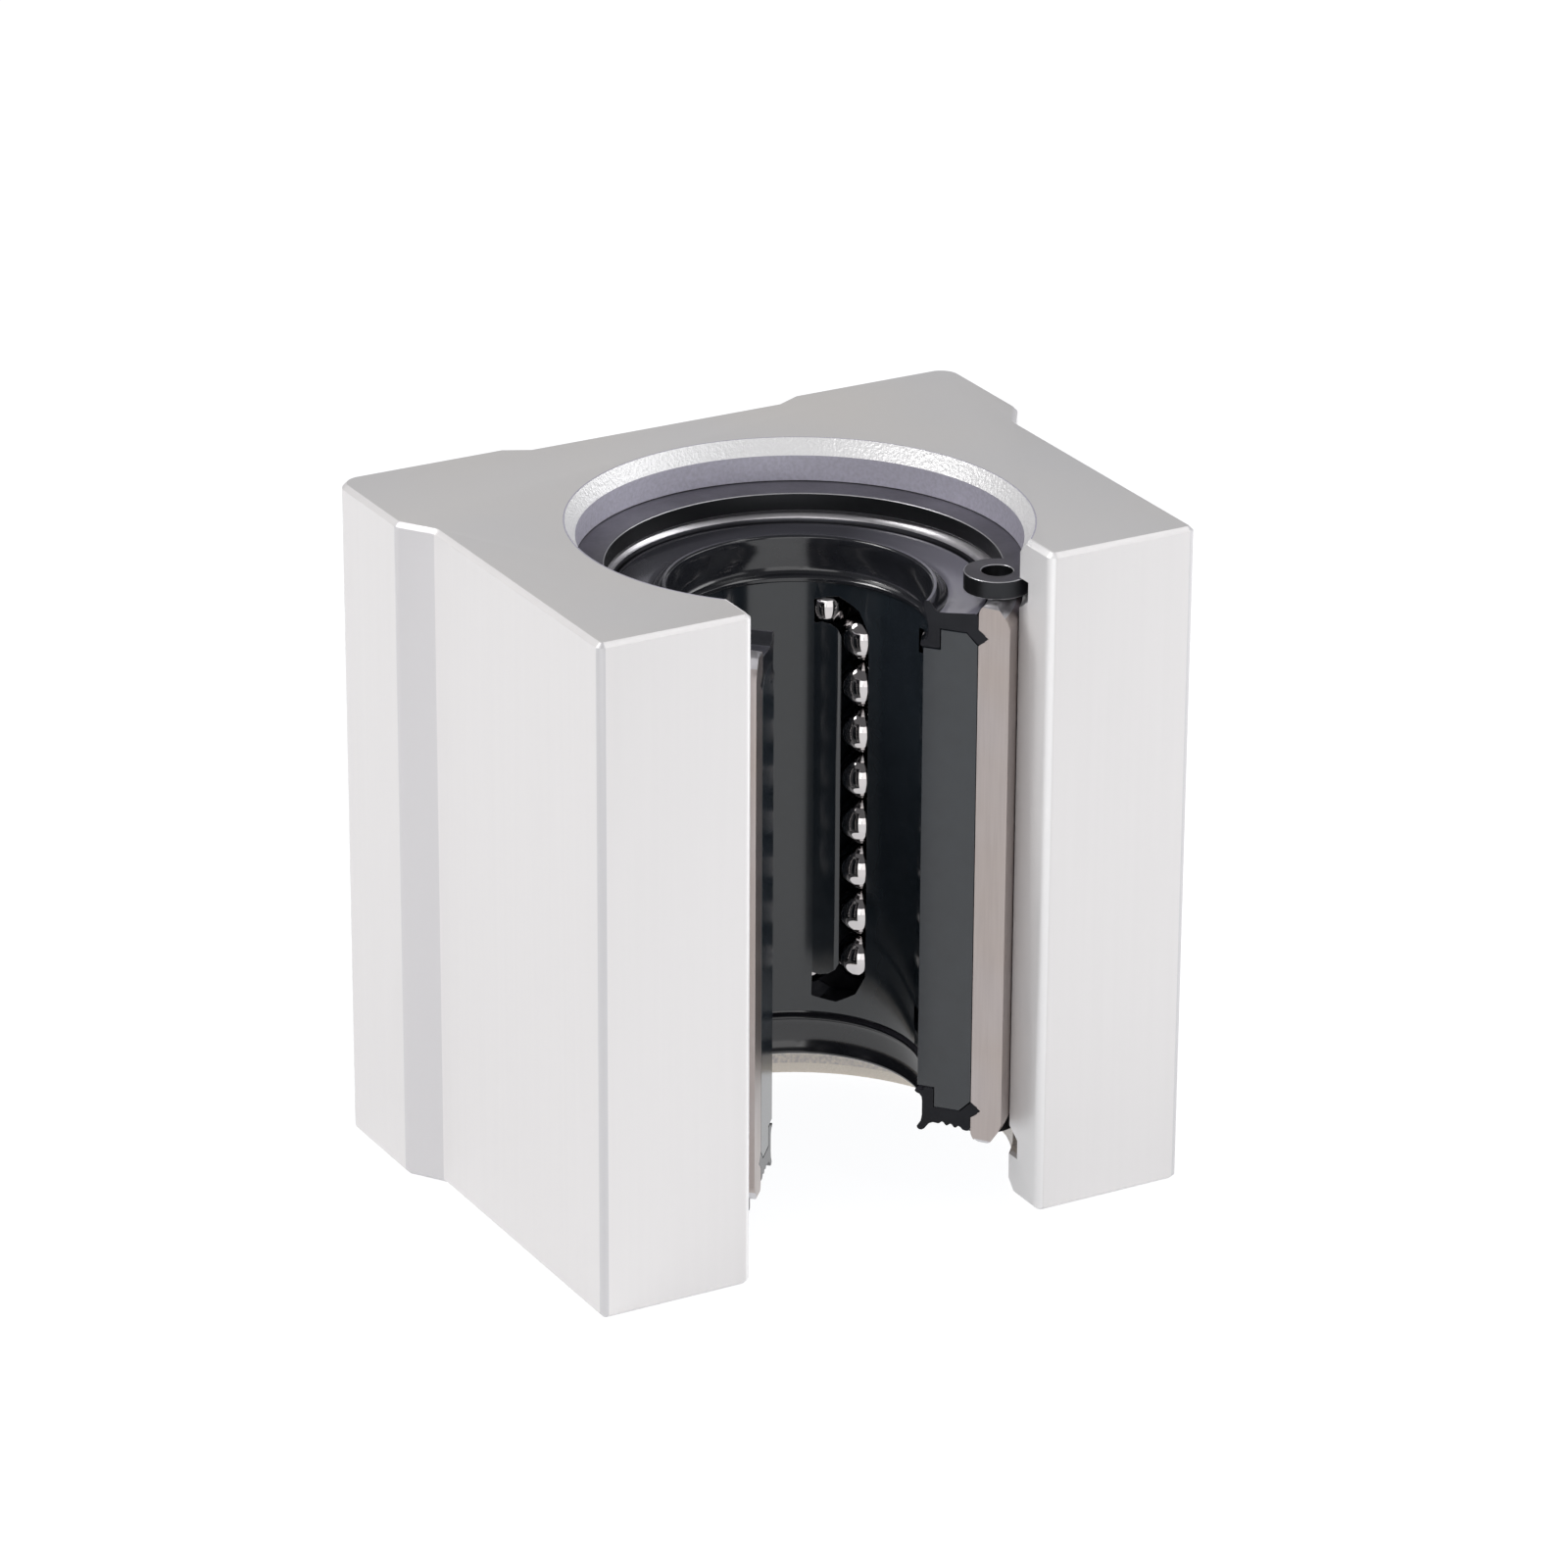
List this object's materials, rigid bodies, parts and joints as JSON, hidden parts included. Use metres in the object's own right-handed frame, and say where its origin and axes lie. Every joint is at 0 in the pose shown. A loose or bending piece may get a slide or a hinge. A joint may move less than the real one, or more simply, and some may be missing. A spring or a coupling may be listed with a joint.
{
  "type": "open linear bearing block",
  "caption": "Open linear bearing block: a slotted aluminium housing holds a ball bearing sleeve that rolls along a round shaft carried on a support rail.",
  "frame": {"origin": "on the shaft axis, midway between the block's two end faces", "axes": "+Z along the shaft axis, +Y out of the mounting face, -Y out of the slot, +X to the side with the set screw"},
  "size_m": [0.045, 0.033, 0.045],
  "materials": {
    "anodised_aluminium": "satin, clear anodised, machined ends",
    "bearing_steel": "ground hardened steel",
    "black_resin": "moulded, glossy black",
    "ball_steel": "polished",
    "seal_rubber": "smooth black",
    "spring_steel": "dull spring steel",
    "black_steel": "black oxide"
  },
  "bodies": {
    "root": {"housing": "anodised_aluminium", "outer_sleeve": "bearing_steel", "retainer": "black_resin", "ball_circuit_1": "ball_steel", "ball_circuit_2": "ball_steel", "ball_circuit_3": "ball_steel", "ball_circuit_4": "ball_steel", "upper_end_seal": "seal_rubber", "lower_end_seal": "seal_rubber", "upper_snap_ring": "spring_steel", "lower_snap_ring": "spring_steel", "set_screw": "black_steel"}
  },
  "joints": []
}
